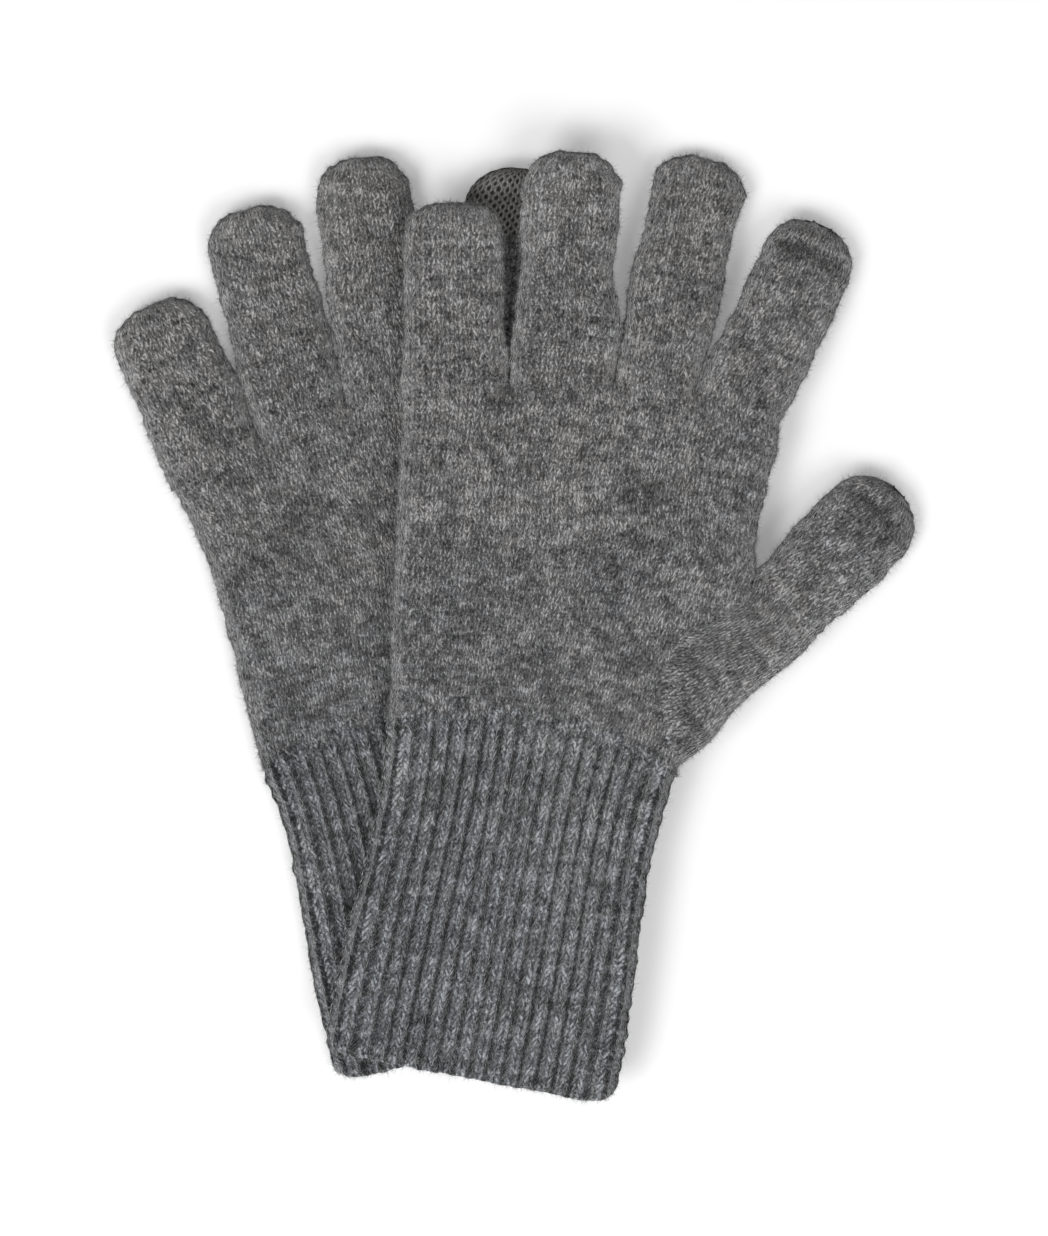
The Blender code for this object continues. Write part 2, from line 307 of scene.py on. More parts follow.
def brushed_yarn(name, ribbed):
    """The grey blended yarn, with its stitches blurred by loose fibres."""
    material, shader, chart, place = start_material(name)
    across = chart.node("ShaderNodeSeparateXYZ", {}, {0: chart})
    wander = (noise(place, 420.0) - 0.5) * 0.55
    up = Wire(across.tree, across.socket.node.outputs[1]) + wander
    if ribbed:
        in_pair = ((across + wander * 0.7) * 0.5).math("FRACT")
        from_ridge = ((in_pair - 0.5).math("ABSOLUTE") * 2.0).math("MINIMUM", 1.0)
        ridge = smooth_step(from_ridge, 0.40, 0.88)
        across = across * 0.72 + 0.28
    from_middle, in_leg, shade, strand = leg_pattern(across + wander * 0.8, up)
    # Painted light and shade: leg is 1 in the middle of each stitch leg and 0 in the gaps, and the tone
    # below paints the middles lighter and the gaps darker.
    leg = (hump(from_middle) * hump(in_leg)).math("MAXIMUM", 0.0) ** 0.5
    fine = noise(place, 1600.0, 2.0)
    lie = {0: noise(place, 260.0), 1: (1.6, 0.6, 0.0), 2: chart}
    swept = chart.node("ShaderNodeVectorMath", {"operation": "MULTIPLY_ADD"}, lie)
    clear = 1.0 if ribbed else 0.72
    mix = (
        (shade, 0.16 * clear),
        (strand, 0.48 if ribbed else 0.42),
        (noise(swept, 1.0, 1.0, (5.0, 1.15, 1.0)), 0.85),
        (fine, 1.70),
        (noise(place, 620.0, 2.0), 0.85),
        (noise(place, 300.0, 2.0), 1.00),
        (noise(chart, 0.42, 2.0, (0.28, 1.25, 1.0)), 0.60),
        (noise(place, 45.0, 2.0), 0.50),
    )
    # Painted light: the last term lightens the tone towards the fingers and the right, as the light
    # falls.
    tone = 0.491 + (leg - 0.58) * 0.55 * clear + along(place, PAINTED_LIGHT_FALLOFF)
    for pattern, weight in mix:
        tone = tone + (pattern - 0.5) * weight
    if ribbed:
        # Painted shade: the furrows between the ribs are painted darker and the ridges lighter, only
        # below the hand's border.
        below_border = clamped((wander * 3.0 - up) * 0.3)
        tone = tone + (ridge - 0.62) * below_border * FURROW_SHADE_TONE - 0.105
    else:
        # Painted shade: the dent behind a touch end is painted darker, as if in its own shadow.
        dent_shade = place.node("ShaderNodeAttribute", {"attribute_name": "Crease"}, {}, 2)
        tone = tone - dent_shade * DENT_SHADE_TONE
    hue = (noise(place, 24.0, 3.0) - 0.5) * 1.3 + (noise(place, 210.0, 1.0) - 0.5) * 1.6
    tints = (RIB_COOL, RIB_WARM) if ribbed else (COOL, WARM)
    hue = clamped(hue + 0.5 + along(place, HUE_DRIFT))
    colour = tinted(tone_to_colour(tone, shades(TONES)), hue, *tints)
    finish_material(shader, colour, leg * 0.7 + strand * 0.5 + fine * 0.4, 0.7 * MM, 0.95, 0.55)
    return material


plain_yarn = brushed_yarn("plain_yarn", False)
rib_yarn = brushed_yarn("rib_yarn", True)


# %% Touch yarn
def conductive_yarn():
    """The smooth warm-grey conductive yarn, with painted shade in the open gaps between its stitches."""
    material, shader, chart, place = start_material("touch_yarn")
    across = chart.node("ShaderNodeSeparateXYZ", {}, {0: chart})
    up = Wire(across.tree, across.socket.node.outputs[1])
    from_middle, in_leg, shade, _ = leg_pattern(across, up)
    leg = (hump(from_middle) * hump(in_leg)).math("MAXIMUM", 0.0) ** 0.5
    fine = noise(place, 1800.0, 2.0)

    def from_hole(shift, width, height):
        beside = ((across + shift).math("FRACT") - 0.5) ** 2.0 * width
        above = ((up + shift + 0.25).math("FRACT") - 0.5) ** 2.0 * height
        return beside + above

    # Painted shade: the gaps between stitches are painted dark and the legs lighter in their middles.
    hole = smooth_step(from_hole(0.0, 1.5, 1.0).math("MINIMUM", from_hole(0.5, 1.8, 1.3)), 0.015, 0.12)
    tone = 0.80 + (leg - 0.5) * 0.30 - hole * 0.70 + (shade - 0.5) * 0.12 + (fine - 0.5) * 0.35
    colour = tone_to_colour(tone, shades(TOUCH_TONES, TOUCH_TINT))
    finish_material(shader, colour, leg + fine * 0.12 - hole, 0.5 * MM, 0.75, 0.1)
    return material


touch_yarn = conductive_yarn()


# %% Loose fibres
def loose_fibre():
    """The single fibres that stand off the brushed fabric."""
    material, shader, _, place = start_material("loose_fibre")
    # The fibres' spread of light and dark is the blend's; their lighter mean tone is painted light that
    # brightens the shaded folded edges, where most of them grow.
    tone = 0.60 + (noise(place, 900.0, 1.0) - 0.5) * 2.2
    colour = tone_to_colour(tone, shades(TONES))
    finish_material(shader, colour, noise(place, 900.0), 0.05 * MM, 0.9, 0.6)
    return material


fibre_yarn = loose_fibre()
print("materials:", [m.name for m in (plain_yarn, rib_yarn, touch_yarn, fibre_yarn)])

# %% [markdown]
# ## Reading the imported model
# Each digit folds on a hinge at its foot. The hinge's axis points across the digit, so it gives
# the digit's own directions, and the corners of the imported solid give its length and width. The
# hand's sides are read by cutting its solid at many heights.

# %% The stitches' size
WALE = 2.2 * MM
COURSE = 2.05 * MM
RIB_WALE = 2.12 * MM
POINTS_PER_WALE = 4
POINTS_PER_COURSE = 4
LAYER_RISE = 4.25 * MM
EDGE_ROUND = 8.0 * MM
CUFF_ROUND = 8.0 * MM
HAND_TURN = {"left": 0.0, "right": math.radians(18.0)}
LEVEL_SLOPE = 0.01
END_NEAR = 0.1 * MM
DIGITS = ("thumb", "index", "middle", "ring", "little")
TOUCH_DIGITS = ("thumb", "index")


def corners(*names):
    """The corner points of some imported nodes, as rows of x, y and z."""
    rows = [[tuple(v.co) for v in frame["nodes"][name].data.vertices] for name in names]
    return np.concatenate([np.array(row) for row in rows])


# %% A digit's place and size
def read_digit(glove, name):
    """The digit's foot, its directions, its sizes and how it slopes, from its hinge and solid."""
    joint = joints[f"{glove}_{name}_fold"]
    foot = np.array(joint["pos_m"])
    axis = np.array(joint["axis"])
    across = axis[:2] / np.linalg.norm(axis[:2])
    forward = np.array([-across[1], across[0]])
    nodes = [f"{glove}_{name}"]
    if name in TOUCH_DIGITS:
        nodes.append(f"{glove}_{name}_touch_tip")
    points = corners(*nodes)
    sideways = (points[:, :2] - foot[:2]) @ across
    ahead = (points[:, :2] - foot[:2]) @ forward
    at_foot = ahead < ahead.min() + END_NEAR
    at_tip = ahead > ahead.max() - END_NEAR
    drop = points[at_foot, 2].mean() - points[at_tip, 2].mean()
    return {
        "name": name,
        "body": f"{glove}_{name}",
        "foot": foot[:2],
        "across": across,
        "forward": forward,
        "foot_half": np.abs(sideways[at_foot]).max(),
        "half": np.abs(sideways).max(),
        "length": ahead.max(),
        "slope": -drop / ahead.max(),
    }


# %% A glove's lines
def to_hand(glove, points):
    """World places to the hand's own directions, from the middle of its wrist."""
    turn = HAND_TURN[glove["name"]]
    turned = np.array([[math.cos(turn), -math.sin(turn)], [math.sin(turn), math.cos(turn)]])
    return (np.asarray(points) - glove["wrist"]) @ turned


def to_world(glove, points):
    """The hand's own directions back to world places."""
    turn = HAND_TURN[glove["name"]]
    turned = np.array([[math.cos(turn), math.sin(turn)], [-math.sin(turn), math.cos(turn)]])
    return np.asarray(points) @ turned + glove["wrist"]


def hand_side(glove, heights, side):
    """The hand's left (-1) or right (1) edge at these heights above the wrist."""
    node = frame["nodes"][f"{glove['name']}_hand"]
    points = to_hand(glove, corners(f"{glove['name']}_hand")[:, :2])
    ends = np.array([edge.vertices[:] for edge in node.data.edges])
    low, high = points[ends[:, 0]], points[ends[:, 1]]
    found = []
    for height in heights:
        crossing = (low[:, 1] - height) * (high[:, 1] - height) <= 0
        rise = high[crossing, 1] - low[crossing, 1]
        share = np.where(np.abs(rise) > 1e-9, (height - low[crossing, 1]) / (rise + 1e-12), 0.5)
        reach = low[crossing, 0] + share * (high[crossing, 0] - low[crossing, 0])
        found.append(side * (side * reach).max())
    return np.array(found)


def read_glove(name):
    """All that the knitting needs to know about one glove."""
    wrist = joints[f"{name}_wrist_fold"]
    glove = {"name": name, "wrist": np.array(wrist["pos_m"][:2])}
    low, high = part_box(f"{name}_cuff")
    glove["middle_height"] = (low.z + high.z) / 2
    glove["digits"] = {digit: read_digit(name, digit) for digit in DIGITS}
    across = -np.array(wrist["axis"][:2])
    cuff = corners(f"{name}_cuff")[:, :2]
    along_wrist = (cuff - glove["wrist"]) @ across
    below = (cuff - glove["wrist"]) @ np.array([across[1], -across[0]])
    at_wrist = below < below.min() + 1.0 * MM
    half = np.abs(along_wrist[at_wrist]).max()
    glove["wrist_ends"] = [glove["wrist"] - across * half, glove["wrist"] + across * half]
    left_end = (cuff[:, 0] + cuff[:, 1]).argmin()
    right_end = (cuff[:, 0] - cuff[:, 1]).argmax()
    glove["hem_ends"] = [cuff[left_end], cuff[right_end]]
    index, thumb = (joints[f"{name}_{digit}_fold"]["pos_m"] for digit in ("index", "thumb"))
    slope = (index[2] - thumb[2]) / (thumb[0] - index[0])
    falls = slope > LEVEL_SLOPE
    glove["fall_slope"] = slope if falls else 0.0
    glove["fall_start"] = index[0] - (wrist["pos_m"][2] - index[2]) / slope if falls else 0.0
    return glove


gloves = {name: read_glove(name) for name in ("right", "left")}
for name, glove in gloves.items():
    print(name, "falls from", round(glove["fall_start"], 4), "slope", round(glove["fall_slope"], 3))

# %% [markdown]
# ## Knitting a tube
# Every tube starts as one flat grid from `bmesh.ops.create_grid`, with four points to a stitch
# each way. The grid's columns go once round the tube, across the upper layer and back under the
# lower one, and its rows go along it. The points are moved to the tube's shape, pushed out along
# the surface by the stitches' relief, and the first and last columns are merged.

# %% Soft shapes
FALL_BLEND = 6.0 * MM
PUFF_SIZE = 50.0 * MM
PUFF_SHARE = 0.09
PUFF_SEED = {"right": 5, "left": 4}


def waves(place, size, seed):
    """Smooth gentle ups and downs between about -1 and 1, the same for the same place."""
    random = np.random.default_rng(seed)
    total = np.zeros(place.shape[:-1])
    for _ in range(6):
        angle = random.uniform(0, 2 * math.pi)
        pitch = size * random.uniform(0.7, 1.5)
        towards = place[..., 0] * math.cos(angle) + place[..., 1] * math.sin(angle)
        total += np.sin(towards * 2 * math.pi / pitch + random.uniform(0, 2 * math.pi))
    return total / 3.0


def middle_height(glove, x):
    """The height of the middle of the glove, which falls away beyond the glove under it."""
    past = x - glove["fall_start"]
    fall = (np.sqrt(past**2 + FALL_BLEND**2) + past) / 2 * glove["fall_slope"]
    return glove["middle_height"] - fall


def layer_rise(glove, world_place):
    """How far each layer stands off the middle: fuller in some places, flatter in others."""
    return LAYER_RISE * (1 + PUFF_SHARE * waves(world_place, PUFF_SIZE, PUFF_SEED[glove["name"]]))


def round_over(distance, reach):
    """How far the fabric has risen, 0 to 1, at a distance from a folded edge."""
    short = 1.0 - np.clip(distance / reach, 0.0, 1.0)
    return np.sqrt(np.clip(1.0 - short**2, 0.0, 1.0))


def across_layer(share, half, reach, rise):
    """Places across a layer at even steps along its rounded surface: -half to half, and rise."""
    corner = (reach + rise) * math.pi / 4
    flat = 2 * (half - reach)
    run = share * (2 * corner + flat)
    left = np.clip(run / corner, 0.0, 1.0) * math.pi / 2
    right = np.clip((run - corner - flat) / corner, 0.0, 1.0) * math.pi / 2
    level = np.clip(run - corner, 0.0, flat)
    place = -half + reach * (1 - np.cos(left)) + level + reach * np.sin(right)
    return place, np.sin(left) * np.cos(right)


def round_tube(share, up):
    """Grids of shares round a tube and runs up it, the lower layer's points, and shares across."""
    shares, ups = np.meshgrid(share, up)
    lower = shares > 1.0
    return shares, ups, lower, np.where(lower, 2.0 - shares, shares)


def stack_layers(place, height, layer, lower):
    """Points at a layer's distance above the middle height, or below it on the lower layer."""
    return np.concatenate([place, (height + np.where(lower, -layer, layer))[..., None]], axis=-1)


# %% Stitch relief
def stitch_relief(across, up):
    """The height of plain-knit legs, 0 to 1."""
    from_middle = np.abs(np.mod(across, 1.0) - 0.5) * 2
    along = np.mod(up - (1 - from_middle) * LEG_RISE, 1.0)
    return np.sqrt(np.clip(16 * from_middle * (1 - from_middle) * along * (1 - along), 0, 1))


def rib_relief(across):
    """The height of the rib's ridges, 0 to 1: one raised column in two."""
    return (0.5 - 0.5 * np.cos(across * math.pi)) ** 0.65


# %% From a shaped grid to a finished piece
MERGE_WITHIN = 0.01 * MM


def surface_normals(points, closed=True):
    """The outward direction at each point of a grid, which closes on itself if it's a tube."""
    up = np.gradient(points, axis=0)
    across = np.gradient(points, axis=1)
    if closed:
        across[:, 0] = across[:, -1] = points[:, 1] - points[:, -2]
    normals = np.cross(across, up)
    length = np.linalg.norm(normals, axis=2, keepdims=True)
    return normals / np.maximum(length, 1e-12)


def knit(name, points, chart, material, dent_shade=None):
    """A mesh object from a grid of points, with its stitch map and its painted dent shade, if any; open
    ends are closed.
    """
    rows, columns = points.shape[:2]
    grid = bmesh.new()
    bmesh.ops.create_grid(grid, x_segments=columns - 1, y_segments=rows - 1, size=1.0)
    data = bpy.data.meshes.new(name)
    grid.to_mesh(data)
    grid.free()
    flat = np.zeros(len(data.vertices) * 3)
    data.vertices.foreach_get("co", flat)
    flat = flat.reshape(-1, 3)
    column = np.rint((flat[:, 0] + 1) / 2 * (columns - 1)).astype(int)
    row = np.rint((flat[:, 1] + 1) / 2 * (rows - 1)).astype(int)
    data.vertices.foreach_set("co", points[row, column].astype(np.float32).ravel())
    owner = np.zeros(len(data.loops), dtype=int)
    data.loops.foreach_get("vertex_index", owner)
    layer = data.uv_layers.new(name="Stitches")
    layer.data.foreach_set("uv", chart[row, column][owner].astype(np.float32).ravel())
    # Painted shade for the dent behind a touch end, kept on the mesh for the material.
    if dent_shade is not None:
        shadow = data.attributes.new("Crease", "FLOAT", "POINT")
        shadow.data.foreach_set("value", dent_shade[row, column].astype(np.float32))
    shaped = bmesh.new()
    shaped.from_mesh(data)
    bmesh.ops.remove_doubles(shaped, verts=shaped.verts, dist=MERGE_WITHIN)
    open_edges = [edge for edge in shaped.edges if edge.is_boundary]
    bmesh.ops.holes_fill(shaped, edges=open_edges, sides=0)
    bmesh.ops.recalc_face_normals(shaped, faces=shaped.faces)
    shaped.to_mesh(data)
    shaped.free()
    data.polygons.foreach_set("use_smooth", np.ones(len(data.polygons), dtype=bool))
    data.materials.append(material)
    piece = bpy.data.objects.new(name, data)
    bpy.context.scene.collection.objects.link(piece)
    return piece


# %% [markdown]
# ## The digits
# A digit is a tube that is a little narrower at its foot. Its end isn't a half circle: the last
# rows are narrowed at both sides and gathered, which leaves a flat top with soft shoulders. The
# tube reaches a few stitches into the hand, so that no gap opens between them.

# %% A digit's shape
FOOT_LAP = 3.0 * MM
FULL_WIDTH_AT = 18.0 * MM
END_LENGTH = 0.92
END_SQUARE, ROUNDER_SQUARE = 2.5, 2.15
END_KEEP, ROUNDER_KEEP = 0.968, 0.988
END_ROUND = 6.5 * MM
ROUND_MOST = 0.96
TUCK = 0.3 * MM
TUCK_FROM = 0.35
SLACK = 0.3 * MM
WEB_GAP = 0.15 * MM
WEB_EASE = 17.0 * MM
POINT = 0.75 * MM
POINT_WIDTH = 1.3 * MM
POINT_AT = 0.62
SLOPE_EASE = 4.0 * MM
WOBBLE = 0.35 * MM
WOBBLE_SIZE = 24.0 * MM
LEAN_CURVE = 1.4
LEAN = {"right_index": 5.0 * MM, "right_little": 1.2 * MM, "right_ring": -0.8 * MM}
DENT_BACK = 7.0 * MM
DENT_WIDTH = 2.0 * MM
DENT_DEPTH = 1.7 * MM
DENT_CURVE = 3.0 * MM
POINTED = ("right_middle", "left_ring", "left_middle", "right_ring")


def side_reach(digit, side, ahead):
    """How far a digit's edge lies from its middle line, with the web beside it near its foot."""
    grow = np.clip(ahead / FULL_WIDTH_AT, 0.0, 1.0)
    grow = grow * grow * (3 - 2 * grow)
    foot = digit["foot_reach"][side]
    reach = foot + (digit["half"] - SLACK - foot) * grow
    web = digit["webs"][side]
    if web:
        shared = foot - WEB_GAP + np.maximum(ahead, 0.0) * web["slope"]
        stay = 1.0 - np.clip((ahead - web["length"]) / WEB_EASE, 0.0, 1.0)
        reach = np.minimum(reach + (shared - reach) * stay * stay * (3 - 2 * stay), shared)
    return reach


def tip_dent(digit, ahead, edge_share):
    """1 in the bottom of the curved dent behind a touch end, and 0 away from it."""
    from_dent = (digit["length"] - ahead - DENT_BACK - DENT_CURVE * edge_share**2) / DENT_WIDTH
    return np.exp(-(from_dent**2)) * np.clip(1 - edge_share**2, 0.0, 1.0)


def digit_surface(glove, digit, share, run, seed):
    """Points of a digit's tube at shares round it (0 to 2) and runs along it (0 to 1)."""
    length, half = digit["length"], digit["half"]
    end_arc = (END_ROUND + LAYER_RISE) * math.pi / 4
    straight = length - END_ROUND + FOOT_LAP
    travel = run * (straight + end_arc)
    past = np.clip((travel - straight) / end_arc, 0.0, 1.0) * math.pi / 2
    ahead = np.minimum(travel, straight) - FOOT_LAP + END_ROUND * np.sin(past)
    end_rise = np.cos(past)
    end_length = END_LENGTH * half
    rounder = digit["name"] in TOUCH_DIGITS
    kept, square = (ROUNDER_KEEP, ROUNDER_SQUARE) if rounder else (END_KEEP, END_SQUARE)
    narrow = np.clip((ahead - length + end_length) / end_length, 0.0, 1.0) * kept
    keep = (1 - narrow**square) ** (1 / square)
    left = side_reach(digit, 0, ahead) * keep
    right = side_reach(digit, 1, ahead) * keep
    if digit["body"] in POINTED:
        from_point = (ahead - length + POINT_AT * end_length) / POINT_WIDTH
        right = right + POINT * np.exp(-(from_point**2))
    lower = share > 1.0
    on_layer = np.where(lower, 2.0 - share, share)
    middle, width = (right - left) / 2, (right + left) / 2
    reach = np.minimum(EDGE_ROUND, width * ROUND_MOST)
    sideways, rise = across_layer(on_layer, width, reach, LAYER_RISE)
    edge_share = sideways / width
    lean = LEAN.get(digit["body"], 0.0) * np.clip(ahead / length, 0.0, 1.0) ** LEAN_CURVE
    middle_line = digit["foot"] + ahead[..., None] * digit["forward"]
    wobble = waves(middle_line, WOBBLE_SIZE, seed) * WOBBLE
    sideways = sideways + middle + lean + wobble * edge_share * np.clip(ahead / FULL_WIDTH_AT, 0, 1)
    place = digit["foot"] + sideways[..., None] * digit["across"] + ahead[..., None] * digit["forward"]
    at_foot = digit["foot"] + sideways[..., None] * digit["across"]
    past_foot = np.maximum(ahead, 0.0)
    eased = past_foot - SLOPE_EASE * (1 - np.exp(-past_foot / SLOPE_EASE))
    height = middle_height(glove, at_foot[..., 0]) + digit["slope"] * eased
    tucked = np.clip(-ahead / FOOT_LAP - TUCK_FROM, 0.0, 1.0) * TUCK
    layer = (layer_rise(glove, place) * rise * end_rise - tucked).clip(0.0)
    if rounder:
        layer = layer - np.where(lower, 0.0, DENT_DEPTH * tip_dent(digit, ahead, edge_share))
    layer = np.where(rise * end_rise < 1e-6, 0.0, layer)
    return stack_layers(place, height, layer, lower)


def stitch_counts(width, length, wale, course):
    """Whole numbers of stitch columns across a layer and rows along it."""
    return max(4, round(width / wale)), max(4, round(length / course))


def tube_shares(wales):
    """Shares round a tube for each column of points."""
    return np.linspace(0.0, 2.0, 2 * wales * POINTS_PER_WALE + 1)


# %% Knit a plain digit
PLAIN_RELIEF = 0.28 * MM
TOUCH_RELIEF = 0.42 * MM
UNEVEN = 0.22 * MM
TOUCH_ON_PALM = 18.5 * MM
TOUCH_ON_BACK = 0.5 * MM
TOUCH_UNDER = 0.12 * MM
SEAM_DEPTH = 0.5 * MM
SEAM_WIDTH = 1.5 * MM
SEAM_STEP = 0.16
# Painted shade: how dark each digit's dent is painted, and how far behind the dent the shade sits.
SHADED_DENTS = {"left_index": 1.0, "left_thumb": 0.55}
DENT_SHADE_BACK = 0.8 * MM


def uneven(points, seed):
    """The small lumps of brushed fabric."""
    return UNEVEN * (waves(points, 3.4 * MM, seed) + waves(points, 7.0 * MM, seed + 1))


def relieve(points, chart, amount):
    """Pushes a tube's points out along its surface by its stitches' relief."""
    wandered = chart + waves(points, 9 * MM, 77)[..., None] * 0.075
    push = (stitch_relief(wandered[..., 0], wandered[..., 1]) - 0.6) * amount
    if amount != TOUCH_RELIEF:
        push = push + uneven(points, 31)
    moved = points + surface_normals(points) * push[..., None]
    moved[:, -1] = moved[:, 0]
    return moved


def share_on_palm(share, palm_is_up):
    """1 on the palm's layer and 0 on the back's, with a soft step just under the folded edges."""
    step = np.clip(np.minimum(share - 1.0, 2.0 - share) / SEAM_STEP, 0.0, 1.0)
    return 1.0 - step if palm_is_up else step


def knit_digit(glove, digit, seed):
    """The digit's plain tube, and its touch-knit end if it has one."""
    round_width = 2 * digit["half"] - 2 * EDGE_ROUND + (EDGE_ROUND + LAYER_RISE) * math.pi / 2
    travel = digit["length"] + FOOT_LAP + (LAYER_RISE - END_ROUND) * 0.5
    wales, courses = stitch_counts(round_width, travel, WALE, COURSE)
    share = tube_shares(wales)
    split_at = np.ones_like(share)
    if digit["name"] in TOUCH_DIGITS:
        on_palm = share_on_palm(share, glove["name"] == "right")
        split_at = 1.0 - (TOUCH_ON_BACK + (TOUCH_ON_PALM - TOUCH_ON_BACK) * on_palm) / travel

    def stretch(name, run, material):
        shares = np.broadcast_to(share[None, :], run.shape)
        points = digit_surface(glove, digit, shares, run, seed)
        chart = np.stack([shares * wales, run * courses], axis=-1)
        if material is touch_yarn:
            chart = chart * np.array([1.05, 1.0])
            points = points - surface_normals(points) * TOUCH_UNDER
        if digit["name"] in TOUCH_DIGITS:
            from_seam = np.abs(run - split_at[None, :]) * digit["length"]
            sunk = SEAM_DEPTH * np.exp(-((from_seam / SEAM_WIDTH) ** 2))
            points = points - surface_normals(points) * sunk[..., None]
        from_foot = points[..., :2] - digit["foot"]
        edge_share = from_foot @ digit["across"] / digit["half"]
        # Painted shade in the dent behind the touch end, on the upper layer only.
        dent = tip_dent(digit, from_foot @ digit["forward"] + DENT_SHADE_BACK, edge_share)
        dent_shade = np.where(shares < 1.0, dent * SHADED_DENTS.get(digit["body"], 0.0), 0.0)
        points = relieve(points, chart, TOUCH_RELIEF if material is touch_yarn else PLAIN_RELIEF)
        return knit(name, points, chart, material, dent_shade)

    run = np.linspace(0.0, 1.0, courses * POINTS_PER_COURSE + 1)[:, None] * split_at[None, :]
    pieces = [stretch(f"{digit['body']}_knit", run, plain_yarn)]
    if digit["name"] in TOUCH_DIGITS:
        rows = round(TOUCH_ON_PALM / COURSE) * POINTS_PER_COURSE
        part = np.linspace(-0.04, 1.0, rows + 1)[:, None]
        run = split_at[None, :] + (1.0 - split_at[None, :]) * part
        pieces.append(stretch(f"{digit['body']}_touch_knit", run, touch_yarn))
    return pieces


# %% [markdown]
# ## The hand
# The hand is one wide tube from the wrist to the feet of the fingers. Its two layers meet at each
# crotch between fingers, where the fabric dips to a crease. The thumb's gusset is knitted across
# it at the thumb's own angle, and lies on it along a visible join.

# %% Lines on the hand
KNUCKLES = ("little", "ring", "middle", "index")
WEB_LENGTHS = {"right": (14 * MM, 19 * MM, 10 * MM), "left": (1 * MM, 13 * MM, 6 * MM)}
FOOT_SPREAD = 0.6 * MM


def foot_ends(digit):
    """The two ends of a digit's foot, left and right."""
    reach = digit["across"] * digit["foot_half"]
    return digit["foot"] - reach, digit["foot"] + reach


def set_webs(glove):
    """Where each digit's two edges start, and how far it lies against its neighbour."""
    for digit in glove["digits"].values():
        digit["foot_reach"] = [digit["foot_half"] + FOOT_SPREAD] * 2
        digit["webs"] = [None, None]
    neighbours = zip(KNUCKLES, KNUCKLES[1:], WEB_LENGTHS[glove["name"]])
    for first, second, length in neighbours:
        one, two = glove["digits"][first], glove["digits"][second]
        crotch = (foot_ends(one)[1] + foot_ends(two)[0]) / 2
        shared = one["forward"] + two["forward"]
        shared = shared / np.linalg.norm(shared)
        for digit, side, sign in ((one, 1, 1.0), (two, 0, -1.0)):
            slope = sign * (shared @ digit["across"]) / (shared @ digit["forward"])
            digit["foot_reach"][side] = sign * ((crotch - digit["foot"]) @ digit["across"])
            digit["webs"][side] = {"slope": slope, "length": length}


def knuckle_line(glove):
    """The line through the feet of the fingers, in the hand's directions, and its crotches."""
    ends = [foot_ends(glove["digits"][name]) for name in KNUCKLES]
    line = [ends[0][0]]
    crotches = []
    for (_, right), (left, _) in zip(ends, ends[1:]):
        crotches.append((right + left) / 2)
        line.append((right + left) / 2)
    line.append(ends[-1][1])
    return to_hand(glove, line), to_hand(glove, crotches)


def along_line(line, share):
    """Points at shares of a line's length."""
    steps = np.linalg.norm(np.diff(line, axis=0), axis=1)
    marks = np.concatenate([[0.0], np.cumsum(steps)]) / steps.sum()
    return np.stack([np.interp(share, marks, line[:, axis]) for axis in (0, 1)], axis=-1)


def smooth_line(line, count):
    """A smoother line through the same points, with evenly spaced points."""
    marks = np.linspace(0, 1, len(line))
    fine = np.linspace(0, 1, count)
    points = np.stack([np.interp(fine, marks, line[:, axis]) for axis in (0, 1)], axis=-1)
    kernel = np.hanning(count // 5 * 2 + 1)
    kernel /= kernel.sum()
    pad = len(kernel) // 2
    for axis in (0, 1):
        ends = np.concatenate([
            2 * points[0, axis] - points[pad:0:-1, axis],
            points[:, axis],
            2 * points[-1, axis] - points[-2:-pad - 2:-1, axis],
        ])
        points[:, axis] = np.convolve(ends, kernel, "valid")
    return points


def patch(bottom, top, left, right, across, up):
    """Fills four meeting lines: bottom and top run across, left and right run up."""
    b, t = along_line(bottom, across), along_line(top, across)
    l, r = along_line(left, up), along_line(right, up)
    across, up = across[..., None], up[..., None]
    corners_part = (
        bottom[0] * (1 - across) * (1 - up)
        + bottom[-1] * across * (1 - up)
        + top[0] * (1 - across) * up
        + top[-1] * across * up
    )
    return b * (1 - up) + t * up + l * (1 - across) + r * across - corners_part


def distance_to(points, line):
    """The distance from points to a line of straight stretches."""
    best = np.full(points.shape[:-1], 1.0)
    for start, end in zip(line[:-1], line[1:]):
        direction = end - start
        share = ((points - start) @ direction) / max(direction @ direction, 1e-12)
        nearest = start + np.clip(share, 0.0, 1.0)[..., None] * direction
        best = np.minimum(best, np.linalg.norm(points - nearest, axis=-1))
    return best


# %% The glove's outline
BORDER_BULGE = {"left": 7.0 * MM, "right": 2.5 * MM}
LEFT_INSET = {"left": 0.0, "right": 2.6 * MM}
WRIST_FILL = {"left": 3.6 * MM, "right": 0.8 * MM}
WRIST_FILL_SHARE = 0.40
JOIN_LINE = np.array([[0.0, 0.0], [-2.6, -6.5], [-13.0, -13.0], [-21.3, -16.1]]) * MM
JOIN_FOOT = np.array([[-21.3, -16.1], [-26.5, -25.5], [-28.6, -35.1], [-26.0, -44.0]]) * MM
JOIN_DEPTH = 53.3 * MM


def side_line(glove, start, end, side, count, gap=0.5 * MM, push=0.0):
    """A folded edge of the hand between two points, pushed to the right and smoothed."""
    heights = np.linspace(start[1] + gap, end[1] - 0.5 * MM, count)
    line = np.stack([hand_side(glove, heights, side) + push, heights], axis=-1)
    line = np.concatenate([[start], line[1:-1], [end]])
    for _ in range(6):
        line[1:-1] = (line[:-2] + 2 * line[1:-1] + line[2:]) / 4
    return line


